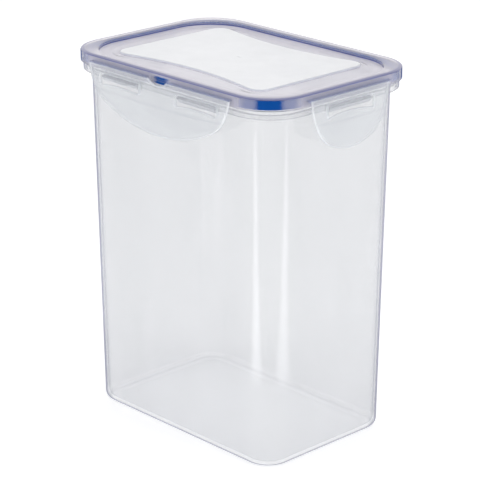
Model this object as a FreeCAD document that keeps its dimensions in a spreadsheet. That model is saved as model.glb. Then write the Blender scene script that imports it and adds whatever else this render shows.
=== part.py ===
import FreeCAD, Part
import math
import os
import re
import Sketcher

# Clip-lid food canister: a tall rectangular container, a lid with a sealing
# ring, and four snap flaps that hang from the lid on thin folding films and
# hook their slots over lugs on the container's collar.
#
# Frame: origin at the centre of the base, +X along the long side, the front
# long side towards -Y, +Z up. Millimetres. An inset is a distance inwards from
# the lid's outer face, a reach is a distance outwards from it.

SIZES = {
    # lid outline and overall height
    "total_height": 185.0,
    "lid_length": 144.4,
    "lid_width": 100.8,
    "lid_corner_radius": 22.0,
    # container walls
    "base_edge_radius": 4.6,
    "wall_draft": 3.1,
    "wall_thickness": 1.6,
    "wall_top": 174.0,
    "wall_inset": 5.5,
    # container rim: a collar with a hollow underside and a sealing lip
    "collar_inset": 1.3,
    "collar_thickness": 1.4,
    "collar_bottom": 174.8,
    "collar_top": 178.9,
    "collar_hollow_top": 176.4,
    "rim_ledge": 177.9,
    "ledge_chamfer": 1.0,
    "lip_outer_inset": 2.8,
    "lip_inner_inset": 4.4,
    "lip_top": 181.5,
    # lid: skirt, gasket groove, plug and panel
    "skirt_bottom": 179.4,
    "skirt_thickness": 1.4,
    "groove_top": 184.0,
    "plug_outer_inset": 4.8,
    "plug_inner_inset": 6.1,
    "plug_bottom": 178.4,
    "rim_inner_inset": 6.0,
    "panel_top": 183.0,
    "panel_underside": 181.6,
    "lid_edge_radius": 1.4,
    "rim_inner_edge_radius": 0.5,
    # stacking pad in the middle of the lid, waisted along its long edges
    "pad_half_length": 50.5,
    "pad_half_width": 37.3,
    "pad_waist_half_width": 29.5,
    "pad_rise": 1.1,
    "pad_corner_radius": 9.0,
    "pad_edge_radius": 0.5,
    # sealing ring
    "ring_web_bottom": 182.2,
    "ring_leg_thickness": 1.0,
    "ring_leg_bottom": 180.0,
    "ring_bead_inset": 3.2,
    "ring_bead_thickness": 0.8,
    # folding films: a strip with a round bead along each of its two fold lines
    "fold_height": 182.3,
    "lid_fold_reach": 0.3,
    "flap_fold_reach": 1.9,
    "bead_radius": 0.4,
    "bead_seat_radius": 0.45,
    "film_thickness": 0.4,
    "film_end_margin": 1.0,
    # flaps
    "flap_inner_reach": 1.2,
    "flap_thickness": 1.8,
    "flap_top": 182.0,
    "flap_edge_radius": 0.5,
    "long_half_width": 49.3,
    "long_bottom": 155.3,
    "long_bottom_radius": 82.0,
    "long_corner_radius": 11.0,
    "short_half_width": 28.0,
    "short_bottom": 156.4,
    "short_bottom_radius": 29.0,
    "short_corner_radius": 16.0,
    # slots in the flaps, and the notch in the top edge of the long flaps
    "long_slot_centre": 26.75,
    "long_slot_length": 27.5,
    "long_slot_bottom": 173.8,
    "long_slot_top": 177.8,
    "short_slot_length": 30.0,
    "short_slot_bottom": 173.6,
    "short_slot_top": 178.0,
    "slot_corner_radius": 1.2,
    "notch_radius": 8.7,
    "notch_depth": 2.4,
    # locking lugs on the collar, one for each slot
    "lug_heel_reach": 1.1,
    "lug_tip_reach": 2.4,
    "lug_root_bottom": 174.9,
    "lug_heel_bottom": 174.5,
    "lug_tip_bottom": 176.2,
    "lug_tip_top": 176.7,
    "lug_top": 177.4,
    "lug_end_clearance": 1.2,
}

doc = FreeCAD.newDocument("food_canister")
sheet = doc.addObject("Spreadsheet::Sheet", "Sizes")
for row, (alias, value) in enumerate(SIZES.items(), start=1):
    sheet.set("A%d" % row, alias)
    sheet.set("B%d" % row, str(value))
    sheet.setAlias("B%d" % row, alias)
doc.recompute()

subparts = []


def cells(text):
    """Turn names of sizes into references to the sheet's cells."""
    return re.sub(r"[a-z]+_\w+", lambda name: "Sizes." + name[0], text)


def value(text):
    """The number that an expression over the sheet gives."""
    return float(sheet.evalExpression(cells(text)))


def keep(shape, label):
    """Note a finished sub-part: its label names its file."""
    shape.Label = label
    subparts.append(shape)
    return shape


def new_sketch(body, name, plane, height="0"):
    """An empty sketch on an origin plane of its body, moved along the plane's normal."""
    sketch = body.newObject("Sketcher::SketchObject", name)
    sketch.AttachmentSupport = [(o, "") for o in body.Origin.OriginFeatures if o.Role == plane]
    sketch.MapMode = "FlatFace"
    sketch.setExpression(".AttachmentOffset.Base.z", cells(height))
    return sketch


def constrain(sketch, kind, *elements):
    """One geometric constraint."""
    sketch.addConstraint(Sketcher.Constraint(kind, *elements))


def dimension(sketch, kind, elements, text):
    """One driving dimension, bound to the sheet."""
    index = sketch.addConstraint(Sketcher.Constraint(kind, *elements, value(text)))
    sketch.setExpression("Constraints[%d]" % index, cells(text))


def draw_arc(sketch, x, y, radius, start, end):
    """An arc about (x, y) from one angle to another, in degrees. Returns its index."""
    circle = Part.Circle(FreeCAD.Vector(x, y, 0), FreeCAD.Vector(0, 0, 1), radius)
    arc = Part.ArcOfCircle(circle, math.radians(start), math.radians(end))
    return sketch.addGeometry(arc, False)


def draw_line(sketch, x1, y1, x2, y2):
    """A straight line. Returns its index."""
    ends = (FreeCAD.Vector(x1, y1, 0), FreeCAD.Vector(x2, y2, 0))
    return sketch.addGeometry(Part.LineSegment(*ends), False)


def draw_rounded_rectangle(sketch, length, width, radius, centre_x="0", centre_y="0"):
    """A rounded rectangle whose five sizes are expressions over the sheet."""
    a, b, r = value(length) / 2, value(width) / 2, value(radius)
    x, y = value(centre_x), value(centre_y)
    arcs = []
    for sx, sy, start in ((1, 1, 0), (-1, 1, 90), (-1, -1, 180), (1, -1, 270)):
        arcs.append(draw_arc(sketch, x + sx * (a - r), y + sy * (b - r), r, start, start + 90))
    top = draw_line(sketch, x + a - r, y + b, x - a + r, y + b)
    left = draw_line(sketch, x - a, y + b - r, x - a, y - b + r)
    bottom = draw_line(sketch, x - a + r, y - b, x + a - r, y - b)
    right = draw_line(sketch, x + a, y - b + r, x + a, y + b - r)
    sides = [top, left, bottom, right]
    for i in range(4):
        constrain(sketch, "Tangent", arcs[i], 2, sides[i], 1)
        constrain(sketch, "Tangent", sides[i], 2, arcs[(i + 1) % 4], 1)
    for i in (1, 2, 3):
        constrain(sketch, "Equal", arcs[0], arcs[i])
    constrain(sketch, "Horizontal", top)
    constrain(sketch, "Vertical", left)
    dimension(sketch, "Radius", [arcs[0]], radius)
    dimension(sketch, "DistanceX", [arcs[1], 3, arcs[0], 3], "(%s) - 2*(%s)" % (length, radius))
    dimension(sketch, "DistanceY", [arcs[3], 3, arcs[0], 3], "(%s) - 2*(%s)" % (width, radius))
    half_x = "(%s) + (%s)/2 - (%s)" % (centre_x, length, radius)
    half_y = "(%s) + (%s)/2 - (%s)" % (centre_y, width, radius)
    dimension(sketch, "DistanceX", [-1, 1, arcs[0], 3], half_x)
    dimension(sketch, "DistanceY", [-1, 1, arcs[0], 3], half_y)


def ring_sketch(body, name, height, *insets):
    """Outlines that follow the lid's outer face, each at an inset of its own."""
    sketch = new_sketch(body, name, "XY_Plane", height)
    for inset in insets:
        draw_rounded_rectangle(sketch, "lid_length - 2*" + inset, "lid_width - 2*" + inset,
                               "lid_corner_radius - " + inset)
    return sketch


def pad(body, name, sketch, length):
    """Add material along the sketch's normal."""
    feature = body.newObject("PartDesign::Pad", name)
    feature.Profile = sketch
    feature.setExpression("Length", cells(length))
    doc.recompute()
    return feature


def pocket(body, name, sketch, depth, along_normal=False):
    """Cut against the sketch's normal, or along it, and check that something was cut."""
    before = body.Shape.Volume
    feature = body.newObject("PartDesign::Pocket", name)
    feature.Profile = sketch
    feature.Reversed = along_normal
    feature.setExpression("Length", cells(depth))
    doc.recompute()
    if body.Shape.Volume >= before - 0.01:
        raise RuntimeError(name + " cuts nothing")
    return feature


def dress(body, name, kind, radius, wanted):
    """Fillet or chamfer the edges of the newest feature for which wanted(edge) is true."""
    base = body.Tip
    edges = []
    for number, edge in enumerate(base.Shape.Edges, start=1):
        if wanted(edge):
            edges.append("Edge%d" % number)
    feature = body.newObject("PartDesign::" + kind, name)
    feature.Base = (base, edges)
    feature.setExpression("Radius" if kind == "Fillet" else "Size", cells(radius))
    doc.recompute()
    return feature


def inset_of(point):
    """How far inside the lid's outer face a point is, measured square to that face."""
    radius = value("lid_corner_radius")
    past_x = abs(point.x) - value("lid_length/2") + radius
    past_y = abs(point.y) - value("lid_width/2") + radius
    if past_x > 0 and past_y > 0:
        return radius - math.hypot(past_x, past_y)
    return radius - max(past_x, past_y)


def at_height(height, least_inset=-1.0):
    """A test for the edges that lie flat at one height, at least some inset from the face."""
    z = value(height)

    def wanted(edge):
        box = edge.BoundBox
        flat = abs(box.ZMin - z) < 1e-4 and abs(box.ZMax - z) < 1e-4
        middle = edge.valueAt((edge.FirstParameter + edge.LastParameter) / 2)
        return flat and inset_of(middle) > least_inset
    return wanted


# --- container: drafted walls on a rounded base ---

def drafted_block(name, inset, floor, edge_radius):
    """The walls' outer or inner form: a tapered block on a rounded base, up to the rim."""
    body = doc.addObject("PartDesign::Body", name)
    foot_inset = "(%s + wall_draft*(wall_top - %s)/wall_top)" % (inset, floor)
    block = pad(body, name + "_block", ring_sketch(body, name + "_foot", floor, foot_inset),
                "wall_top - " + floor)
    block.setExpression("TaperAngle", cells("atan(wall_draft/wall_top)"))
    doc.recompute()
    dress(body, name + "_edge", "Fillet", edge_radius,
          lambda edge: abs(edge.BoundBox.ZMax - value(floor)) < 1e-4)
    return body


def make_container():
    outer = drafted_block("outer_form", "wall_inset", "0", "base_edge_radius")
    inner = drafted_block("inner_form", "(wall_inset + wall_thickness)", "wall_thickness",
                          "base_edge_radius - wall_thickness")
    container = doc.addObject("Part::Cut", "container")
    container.Base = outer
    container.Tool = inner
    return keep(container, "container")


# --- container rim: hollow collar, ledge and sealing lip ---

def make_container_rim():
    body = doc.addObject("PartDesign::Body", "container_rim")
    pad(body, "collar", ring_sketch(body, "collar_outline", "wall_top", "collar_inset"),
        "collar_top - wall_top")
    pad(body, "lip", ring_sketch(body, "lip_outline", "collar_top", "lip_outer_inset"),
        "lip_top - collar_top")
    pocket(body, "skirt_end", ring_sketch(body, "skirt_end_outlines", "wall_top",
           "collar_inset - 0.5", "wall_inset"), "collar_bottom - wall_top", True)
    hollow = ring_sketch(body, "hollow_outlines", "collar_bottom",
                         "(collar_inset + collar_thickness)", "wall_inset")
    pocket(body, "hollow", hollow, "collar_hollow_top - collar_bottom", True)
    mouth = ring_sketch(body, "mouth_outline", "lip_top", "lip_inner_inset")
    pocket(body, "mouth", mouth, "lip_top - rim_ledge")
    throat = ring_sketch(body, "throat_outline", "rim_ledge", "(wall_inset + wall_thickness)")
    pocket(body, "throat", throat, "rim_ledge - wall_top")
    dress(body, "ledge_slope", "Chamfer", "ledge_chamfer",
          at_height("rim_ledge", value("wall_inset")))
    return keep(body, "container_rim")


# --- locking lugs: a ridge behind each slot, with a sloped underside ---

def make_lug(name, length):
    """One lug on the front of a side whose lid face lies at y = 0."""
    body = doc.addObject("PartDesign::Body", name)
    sketch = new_sketch(body, name + "_section", "YZ_Plane")
    corners = [("-collar_inset", "lug_root_bottom"), ("lug_heel_reach", "lug_heel_bottom"),
               ("lug_tip_reach", "lug_tip_bottom"), ("lug_tip_reach", "lug_tip_top"),
               ("lug_heel_reach", "lug_top"), ("-collar_inset", "lug_top")]
    places = [(-value(reach), value(height)) for reach, height in corners]
    lines = [draw_line(sketch, *places[i - 1], *places[i]) for i in range(len(places))]
    for i in range(len(places)):
        constrain(sketch, "Coincident", lines[i - 1], 2, lines[i], 1)
        reach, height = corners[i]
        dimension(sketch, "DistanceX", [-1, 1, lines[i], 2], "-(%s)" % reach)
        dimension(sketch, "DistanceY", [-1, 1, lines[i], 2], height)
    feature = pad(body, name + "_length", sketch, length)
    feature.Midplane = True
    return body


def make_locking_lugs():
    lugs = []
    long_length = "long_slot_length - 2*lug_end_clearance"
    short_length = "short_slot_length - 2*lug_end_clearance"
    for angle, shift in ((0, -1), (0, 1), (180, -1), (180, 1), (90, 0), (270, 0)):
        lug = make_lug("lug_%d_%d" % (angle, shift + 1), short_length if shift == 0 else long_length)
        half = value("lid_length/2" if shift == 0 else "lid_width/2")
        place = FreeCAD.Vector(shift * value("long_slot_centre"), -half, 0)
        turn = FreeCAD.Rotation(FreeCAD.Vector(0, 0, 1), angle)
        lug.Placement = FreeCAD.Placement(turn.multVec(place), turn)
        lugs.append(lug)
    group = doc.addObject("Part::Compound", "locking_lugs")
    group.Links = lugs
    return keep(group, "locking_lugs")


# --- lid: rim with a groove underneath, plug wall, panel and stacking pad ---

def draw_waisted_pad(sketch):
    """Two straight short sides and two long sides that bow in towards the middle."""
    a, b, waist = value("pad_half_length"), value("pad_half_width"), value("pad_waist_half_width")
    sagitta = b - waist
    bow = (a * a + sagitta * sagitta) / (2 * sagitta)
    half_angle = math.degrees(math.asin(a / bow))
    front = draw_arc(sketch, 0, -waist - bow, bow, 90 - half_angle, 90 + half_angle)
    back = draw_arc(sketch, 0, waist + bow, bow, 270 - half_angle, 270 + half_angle)
    right = draw_line(sketch, a, -b, a, b)
    left = draw_line(sketch, -a, b, -a, -b)
    for arc, first, second in ((front, (right, 1), (left, 2)), (back, (left, 1), (right, 2))):
        constrain(sketch, "Coincident", arc, 1, *first)
        constrain(sketch, "Coincident", arc, 2, *second)
    constrain(sketch, "PointOnObject", front, 3, -2)
    constrain(sketch, "Equal", front, back)
    constrain(sketch, "Symmetric", right, 1, right, 2, -1)
    constrain(sketch, "Symmetric", left, 1, left, 2, -1)
    dimension(sketch, "DistanceX", [-1, 1, right, 2], "pad_half_length")
    dimension(sketch, "DistanceX", [left, 2, -1, 1], "pad_half_length")
    dimension(sketch, "DistanceY", [-1, 1, right, 2], "pad_half_width")
    rise = "(pad_half_width - pad_waist_half_width)"
    dimension(sketch, "Radius", [front], "(pad_half_length^2 + %s^2)/(2*%s)" % (rise, rise))


def make_lid():
    body = doc.addObject("PartDesign::Body", "lid")
    pad(body, "rim", ring_sketch(body, "rim_outline", "skirt_bottom", "0"),
        "total_height - skirt_bottom")
    dress(body, "rim_edge", "Fillet", "lid_edge_radius", at_height("total_height"))
    pocket(body, "skirt_inside", ring_sketch(body, "skirt_inside_outline", "skirt_bottom",
           "skirt_thickness"), "groove_top - skirt_bottom", True)
    pad(body, "plug", ring_sketch(body, "plug_outline", "plug_bottom", "plug_outer_inset"),
        "groove_top - plug_bottom")
    recess = ring_sketch(body, "recess_outline", "total_height", "rim_inner_inset")
    pocket(body, "recess", recess, "total_height - panel_top")
    dress(body, "recess_edge", "Fillet", "rim_inner_edge_radius",
          at_height("total_height", value("rim_inner_inset") / 2))
    plug_inside = ring_sketch(body, "plug_inside_outline", "plug_bottom", "plug_inner_inset")
    pocket(body, "plug_inside", plug_inside, "panel_underside - plug_bottom", True)
    pad_outline = new_sketch(body, "pad_outline", "XY_Plane", "panel_top")
    draw_waisted_pad(pad_outline)
    pad(body, "stacking_pad", pad_outline, "pad_rise")
    low = value("panel_top")

    def upright(edge):
        box = edge.BoundBox
        straight = box.XLength < 1e-4 and box.YLength < 1e-4
        return straight and abs(box.ZMin - low) < 1e-4
    dress(body, "pad_corners", "Fillet", "pad_corner_radius", upright)
    dress(body, "pad_edge", "Fillet", "pad_edge_radius", at_height("panel_top + pad_rise"))
    for angle, span, half in ((0, "long_half_width", "lid_width/2"),
                              (180, "long_half_width", "lid_width/2"),
                              (90, "short_half_width", "lid_length/2"),
                              (270, "short_half_width", "lid_length/2")):
        seat = body.newObject("PartDesign::SubtractiveCylinder", "fold_seat_%d" % angle)
        seat.setExpression("Radius", cells("bead_seat_radius"))
        seat.setExpression("Height", cells("2*%s - film_end_margin" % span))
        start = FreeCAD.Vector(-value(span) + value("film_end_margin/2"),
                               -value(half + " + lid_fold_reach"), value("fold_height"))
        turn = FreeCAD.Rotation(FreeCAD.Vector(0, 0, 1), angle)
        along_x = FreeCAD.Rotation(FreeCAD.Vector(0, 1, 0), 90)
        seat.Placement = FreeCAD.Placement(turn.multVec(start), turn.multiply(along_x))
        doc.recompute()
    return keep(body, "lid")


# --- sealing ring: a web under the groove's roof, an outer leg and a bead ---

def make_gasket():
    body = doc.addObject("PartDesign::Body", "gasket")
    web = ring_sketch(body, "web_outlines", "ring_web_bottom", "skirt_thickness",
                      "plug_outer_inset")
    pad(body, "web", web, "groove_top - ring_web_bottom")
    leg = ring_sketch(body, "leg_outlines", "ring_leg_bottom", "skirt_thickness",
                      "(skirt_thickness + ring_leg_thickness)")
    pad(body, "leg", leg, "ring_web_bottom - ring_leg_bottom")
    bead = ring_sketch(body, "bead_outlines", "lip_top", "ring_bead_inset",
                       "(ring_bead_inset + ring_bead_thickness)")
    pad(body, "bead", bead, "ring_web_bottom - lip_top")
    return keep(body, "gasket")


# --- snap flaps and their folding films, made on the front and turned to each side ---

def cylinder_along_x(body, kind, name, radius, length, reach, half):
    """A cylinder along X, centred on x = 0, at a reach from a lid face at y = -half."""
    cylinder = body.newObject("PartDesign::%sCylinder" % kind, name)
    cylinder.setExpression("Radius", cells(radius))
    cylinder.setExpression("Height", cells(length))
    start = FreeCAD.Vector(-value(length) / 2, -value(half + " + " + reach), value("fold_height"))
    cylinder.Placement = FreeCAD.Placement(start, FreeCAD.Rotation(FreeCAD.Vector(0, 1, 0), 90))
    doc.recompute()
    return cylinder


def draw_flap_outline(sketch, half_width, bottom, bottom_radius, corner_radius):
    """Flat top, straight sides, a rounded corner each side and one large arc below."""
    a, low, big, r = value(half_width), value(bottom), value(bottom_radius), value(corner_radius)
    high = value("flap_top")
    centre_drop = math.sqrt((big - r) ** 2 - (a - r) ** 2)
    corner_z = low + big - centre_drop
    turn = math.degrees(math.asin((a - r) / (big - r)))
    top = draw_line(sketch, a, high, -a, high)
    left = draw_line(sketch, -a, high, -a, corner_z)
    left_corner = draw_arc(sketch, r - a, corner_z, r, 180, 270 - turn)
    below = draw_arc(sketch, 0, low + big, big, 270 - turn, 270 + turn)
    right_corner = draw_arc(sketch, a - r, corner_z, r, 270 + turn, 360)
    right = draw_line(sketch, a, corner_z, a, high)
    chain = [left_corner, below, right_corner]
    constrain(sketch, "Coincident", top, 2, left, 1)
    constrain(sketch, "Tangent", left, 2, left_corner, 1)
    constrain(sketch, "Tangent", chain[0], 2, chain[1], 1)
    constrain(sketch, "Tangent", chain[1], 2, chain[2], 1)
    constrain(sketch, "Tangent", right_corner, 2, right, 1)
    constrain(sketch, "Coincident", right, 2, top, 1)
    constrain(sketch, "Symmetric", top, 1, top, 2, -2)
    constrain(sketch, "Vertical", left)
    constrain(sketch, "Vertical", right)
    constrain(sketch, "Equal", left_corner, right_corner)
    dimension(sketch, "Radius", [left_corner], corner_radius)
    dimension(sketch, "Radius", [below], bottom_radius)
    dimension(sketch, "DistanceX", [top, 2, top, 1], "2*" + half_width)
    dimension(sketch, "DistanceY", [-1, 1, top, 1], "flap_top")
    dimension(sketch, "DistanceY", [-1, 1, below, 3], bottom + " + " + bottom_radius)


def make_flap(name, angle, kind):
    """One snap flap: plate, slots, notch, rounded outer edges and the seat of its fold."""
    half = "lid_width/2" if kind == "long" else "lid_length/2"
    body = doc.addObject("PartDesign::Body", name)
    outline = new_sketch(body, name + "_outline", "XZ_Plane", half + " + flap_inner_reach")
    draw_flap_outline(outline, kind + "_half_width", kind + "_bottom", kind + "_bottom_radius",
                      kind + "_corner_radius")
    pad(body, name + "_plate", outline, "flap_thickness")
    front = value(half + " + flap_inner_reach + flap_thickness")
    dress(body, name + "_edge", "Fillet", "flap_edge_radius",
          lambda edge: abs(edge.BoundBox.YMin + front) < 1e-4 and abs(edge.BoundBox.YMax + front) < 1e-4)
    slot_centres = ["-long_slot_centre", "long_slot_centre"] if kind == "long" else ["0"]
    slots = new_sketch(body, name + "_slot_outlines", "XZ_Plane", half + " + flap_inner_reach")
    for centre in slot_centres:
        draw_rounded_rectangle(slots, kind + "_slot_length",
                               "%s_slot_top - %s_slot_bottom" % (kind, kind), "slot_corner_radius",
                               centre, "(%s_slot_top + %s_slot_bottom)/2" % (kind, kind))
    pocket(body, name + "_slots", slots, "flap_thickness", True)
    if kind == "long":
        notch = new_sketch(body, name + "_notch_outline", "XZ_Plane", half + " + flap_inner_reach")
        centre_z = "flap_top - notch_depth + notch_radius"
        circle = Part.Circle(FreeCAD.Vector(0, value(centre_z), 0), FreeCAD.Vector(0, 0, 1),
                             value("notch_radius"))
        index = notch.addGeometry(circle, False)
        constrain(notch, "PointOnObject", index, 3, -2)
        dimension(notch, "Radius", [index], "notch_radius")
        dimension(notch, "DistanceY", [-1, 1, index, 3], centre_z)
        pocket(body, name + "_notch", notch, "flap_thickness", True)
    length = "2*%s_half_width" % kind
    cylinder_along_x(body, "Subtractive", name + "_fold_seat", "bead_seat_radius", length,
                     "flap_fold_reach", half)
    body.Placement = FreeCAD.Placement(FreeCAD.Vector(), FreeCAD.Rotation(FreeCAD.Vector(0, 0, 1), angle))
    return keep(body, name)


def make_film(name, angle, kind):
    """One folding film: a thin strip with a bead along the lid and one along the flap."""
    half = "lid_width/2" if kind == "long" else "lid_length/2"
    length = "2*%s_half_width - 2*film_end_margin" % kind
    body = doc.addObject("PartDesign::Body", name)
    strip = body.newObject("PartDesign::AdditiveBox", name + "_strip")
    strip.setExpression("Length", cells(length))
    strip.setExpression("Width", cells("flap_fold_reach - lid_fold_reach"))
    strip.setExpression("Height", cells("film_thickness"))
    corner = FreeCAD.Vector(-value(length) / 2, -value(half + " + flap_fold_reach"),
                            value("fold_height - film_thickness/2"))
    strip.Placement = FreeCAD.Placement(corner, FreeCAD.Rotation())
    doc.recompute()
    for side in ("lid", "flap"):
        cylinder_along_x(body, "Additive", "%s_%s_bead" % (name, side), "bead_radius", length,
                         side + "_fold_reach", half)
    body.Placement = FreeCAD.Placement(FreeCAD.Vector(), FreeCAD.Rotation(FreeCAD.Vector(0, 0, 1), angle))
    return keep(body, name)


make_container()
make_container_rim()
make_locking_lugs()
make_lid()
make_gasket()
for side, side_angle, side_kind in (("front", 0, "long"), ("right", 90, "short"),
                                    ("back", 180, "long"), ("left", 270, "short")):
    make_film(side + "_hinge_film", side_angle, side_kind)
    make_flap(side + "_flap", side_angle, side_kind)
doc.recompute()

for item in doc.Objects:
    if "Invalid" in item.State or "Error" in item.State:
        raise RuntimeError("%s failed: %s" % (item.Name, item.State))

os.makedirs("parts", exist_ok=True)
for part in subparts:
    if part.Shape.isNull() or not part.Shape.isValid():
        raise RuntimeError(part.Label + " has no valid shape")
    part.Shape.exportStep("parts/%s.step" % part.Label)
    box = part.Shape.BoundBox
    print("%-20s %7.1f mm3  solids %d  x %.2f..%.2f  y %.2f..%.2f  z %.2f..%.2f" % (
        part.Label, part.Shape.Volume, len(part.Shape.Solids),
        box.XMin, box.XMax, box.YMin, box.YMax, box.ZMin, box.ZMax))
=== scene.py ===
# %% [markdown]
# # A clip-lid food canister
# The real object is three mouldings: a tall container and a lid with four snap flaps, both of
# translucent polypropylene, and a blue silicone ring that shows through the lid's rim. The
# packed CAD parts give every size and place. The visible pieces are worked out here as smooth
# surfaces and set on the same bodies, so that they move as the parts move.

# %% Load the frame
import math
import bpy
import numpy as np
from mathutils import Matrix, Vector


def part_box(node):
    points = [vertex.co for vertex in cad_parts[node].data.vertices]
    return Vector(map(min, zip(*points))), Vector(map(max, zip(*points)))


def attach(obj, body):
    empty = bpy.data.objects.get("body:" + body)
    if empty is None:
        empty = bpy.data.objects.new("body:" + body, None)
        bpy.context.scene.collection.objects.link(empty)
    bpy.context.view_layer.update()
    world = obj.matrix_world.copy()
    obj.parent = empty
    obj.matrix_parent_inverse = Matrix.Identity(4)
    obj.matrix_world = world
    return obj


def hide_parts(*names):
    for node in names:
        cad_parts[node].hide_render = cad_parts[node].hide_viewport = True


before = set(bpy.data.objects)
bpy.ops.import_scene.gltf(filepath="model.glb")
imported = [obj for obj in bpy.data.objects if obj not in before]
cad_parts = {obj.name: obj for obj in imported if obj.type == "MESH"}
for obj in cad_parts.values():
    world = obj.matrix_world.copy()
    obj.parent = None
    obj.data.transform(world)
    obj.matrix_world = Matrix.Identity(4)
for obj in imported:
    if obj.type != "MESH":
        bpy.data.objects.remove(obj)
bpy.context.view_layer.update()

MM = 0.001

# %% [markdown]
# ## The camera
# The camera stands a metre off, a little above the lid, and sees the front and the right side
# at once. A long lens keeps the upright edges nearly parallel.

# %% Camera
LOOK_AT = Vector((0.0, 0.0, 0.0925))
CAMERA_AZIMUTH = math.radians(46.44)
CAMERA_HEIGHT = math.radians(19.62)
CAMERA_DISTANCE = 1.0235
camera_data = bpy.data.cameras.new("camera")
camera_data.lens = 155.2
camera_data.sensor_width = 36.0
camera_data.shift_x = 0.0023
camera_data.shift_y = -0.0067
camera_data.clip_end = 20.0
camera = bpy.data.objects.new("camera", camera_data)
bpy.context.collection.objects.link(camera)
away = Vector((math.sin(CAMERA_AZIMUTH) * math.cos(CAMERA_HEIGHT),
               -math.cos(CAMERA_AZIMUTH) * math.cos(CAMERA_HEIGHT),
               math.sin(CAMERA_HEIGHT)))
camera.location = LOOK_AT + away * CAMERA_DISTANCE
camera.rotation_euler = (-away).to_track_quat("-Z", "Y").to_euler()
bpy.context.scene.camera = camera
print("camera at", [round(v, 3) for v in camera.location])

# %% [markdown]
# ## One path for every ring
# The container, the lid and the sealing ring all follow the same rounded rectangle. A point of
# it is the nearest point of a smaller, sharp rectangle plus a step along the outward normal.
# The step is the corner radius less the inset, so that every ring is parallel to the others and
# its corners are true arcs about the same four centres.

# %% The shared path
lid_low, lid_high = [np.array(corner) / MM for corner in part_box("lid")]
HALF_LENGTH, HALF_WIDTH, TOTAL_HEIGHT = lid_high
CORNER_RADIUS = 22.0
CORNER_STEPS, LONG_STEPS, SHORT_STEPS = 14, 30, 20


def ring_path():
    """Anchor points on the sharp inner rectangle, and unit normals, once around.

    On a corner the anchor stays and the normal turns through a right angle. On a side the
    normal stays and the anchor runs from one corner to the next."""
    corner_x, corner_y = HALF_LENGTH - CORNER_RADIUS, HALF_WIDTH - CORNER_RADIUS
    corners = np.array([(1, 1), (-1, 1), (-1, -1), (1, -1)]) * (corner_x, corner_y)
    anchors, angles = [], []
    for i, steps in enumerate((LONG_STEPS, SHORT_STEPS, LONG_STEPS, SHORT_STEPS)):
        turn = np.linspace(0, math.pi / 2, CORNER_STEPS, endpoint=False) + i * math.pi / 2
        angles.append(turn)
        anchors.append(np.repeat(corners[i][None], CORNER_STEPS, axis=0))
        share = np.linspace(0, 1, steps, endpoint=False)[:, None]
        anchors.append(corners[i] * (1 - share) + corners[(i + 1) % 4] * share)
        angles.append(np.full(steps, (i + 1) * math.pi / 2))
    angle = np.concatenate(angles)
    return np.concatenate(anchors), np.stack([np.cos(angle), np.sin(angle)], axis=1)


ANCHORS, NORMALS = ring_path()


def ring_points(inset, scale=1.0, flare=0.0):
    """Rings for an array of insets: scale * (anchor + (radius - inset) * normal).

    A flare moves the anchors in and adds as much to the radius, so that the sides stay and the
    corners get rounder."""
    inset = np.asarray(inset, float)[:, None, None]
    scale, flare = [np.broadcast_to(np.asarray(v, float), inset.shape[:1])[:, None, None]
                    for v in (scale, flare)]
    anchors = ANCHORS * (1 - flare / (np.array([HALF_LENGTH, HALF_WIDTH]) - CORNER_RADIUS))
    return scale * (anchors + (CORNER_RADIUS + flare - inset) * NORMALS)


print("points on each ring:", len(ANCHORS))

# %% [markdown]
# ## Profiles with rounded corners
# A moulding has no sharp edges, so a profile is a few corners, each with a radius, and the
# corner is replaced by an arc that touches both of its sides. A Bevel modifier would do this on
# the finished mesh, but here each edge needs its own radius, and the rings stay in clean rows.

# %% Rounded profiles


def rounded_profile(corners, closed=False, arc_steps=5):
    """Replace each corner (inset, height, radius) by an arc that touches both sides.

    The arc starts radius / tan(half angle) before the corner, and its points come from turning
    the unit vector from its centre, evenly, between the two touching points."""
    points = np.array([c[:2] for c in corners], float)
    out = []
    count = len(points)
    for i, (_, _, radius) in enumerate(corners):
        here = points[i]
        if radius == 0 or (not closed and i in (0, count - 1)):
            out.append(here[None])
            continue
        before = points[i - 1] - here
        after = points[(i + 1) % count] - here
        room = min(np.linalg.norm(before), np.linalg.norm(after)) * 0.48
        before, after = before / np.linalg.norm(before), after / np.linalg.norm(after)
        half = math.acos(np.clip(before @ after, -1, 1)) / 2
        reach = min(radius / math.tan(half), room)
        middle = (before + after) / np.linalg.norm(before + after)
        centre = here + middle * reach / math.cos(half)
        first = here + before * reach - centre
        last = here + after * reach - centre
        share = np.linspace(0, 1, arc_steps)[:, None]
        opening = math.pi - 2 * half
        arc = (np.sin((1 - share) * opening) * first + np.sin(share * opening) * last)
        out.append(centre + arc / math.sin(opening))
    return np.concatenate(out)


print("points on a rounded square:",
      len(rounded_profile([(0, 0, 1), (4, 0, 1), (4, 4, 1), (0, 4, 1)], closed=True)))

# %% [markdown]
# ## From a grid of points to a mesh
# A stack of rings is a grid whose columns wrap around. Each face joins two neighbours on one
# ring to the same two on the next. A moulding that starts and ends in the middle of a panel is
# closed there by a fan of triangles. Numbers such as how milky the plastic is are stored on the
# points, where the material can read them.

# %% Mesh helpers


def mesh_object(name, vertices, faces, body):
    """Put vertices (millimetres) and faces into a smooth mesh that rides on a body."""
    mesh = bpy.data.meshes.new(name)
    mesh.from_pydata((vertices * MM).tolist(), [], faces)
    mesh.validate()
    mesh.polygons.foreach_set("use_smooth", np.ones(len(mesh.polygons), bool))
    piece = bpy.data.objects.new(name, mesh)
    bpy.context.collection.objects.link(piece)
    weighted = piece.modifiers.new("even_shading", "WEIGHTED_NORMAL")
    weighted.weight = 100
    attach(piece, body)
    print(name, len(mesh.polygons), "faces")
    return piece


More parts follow.
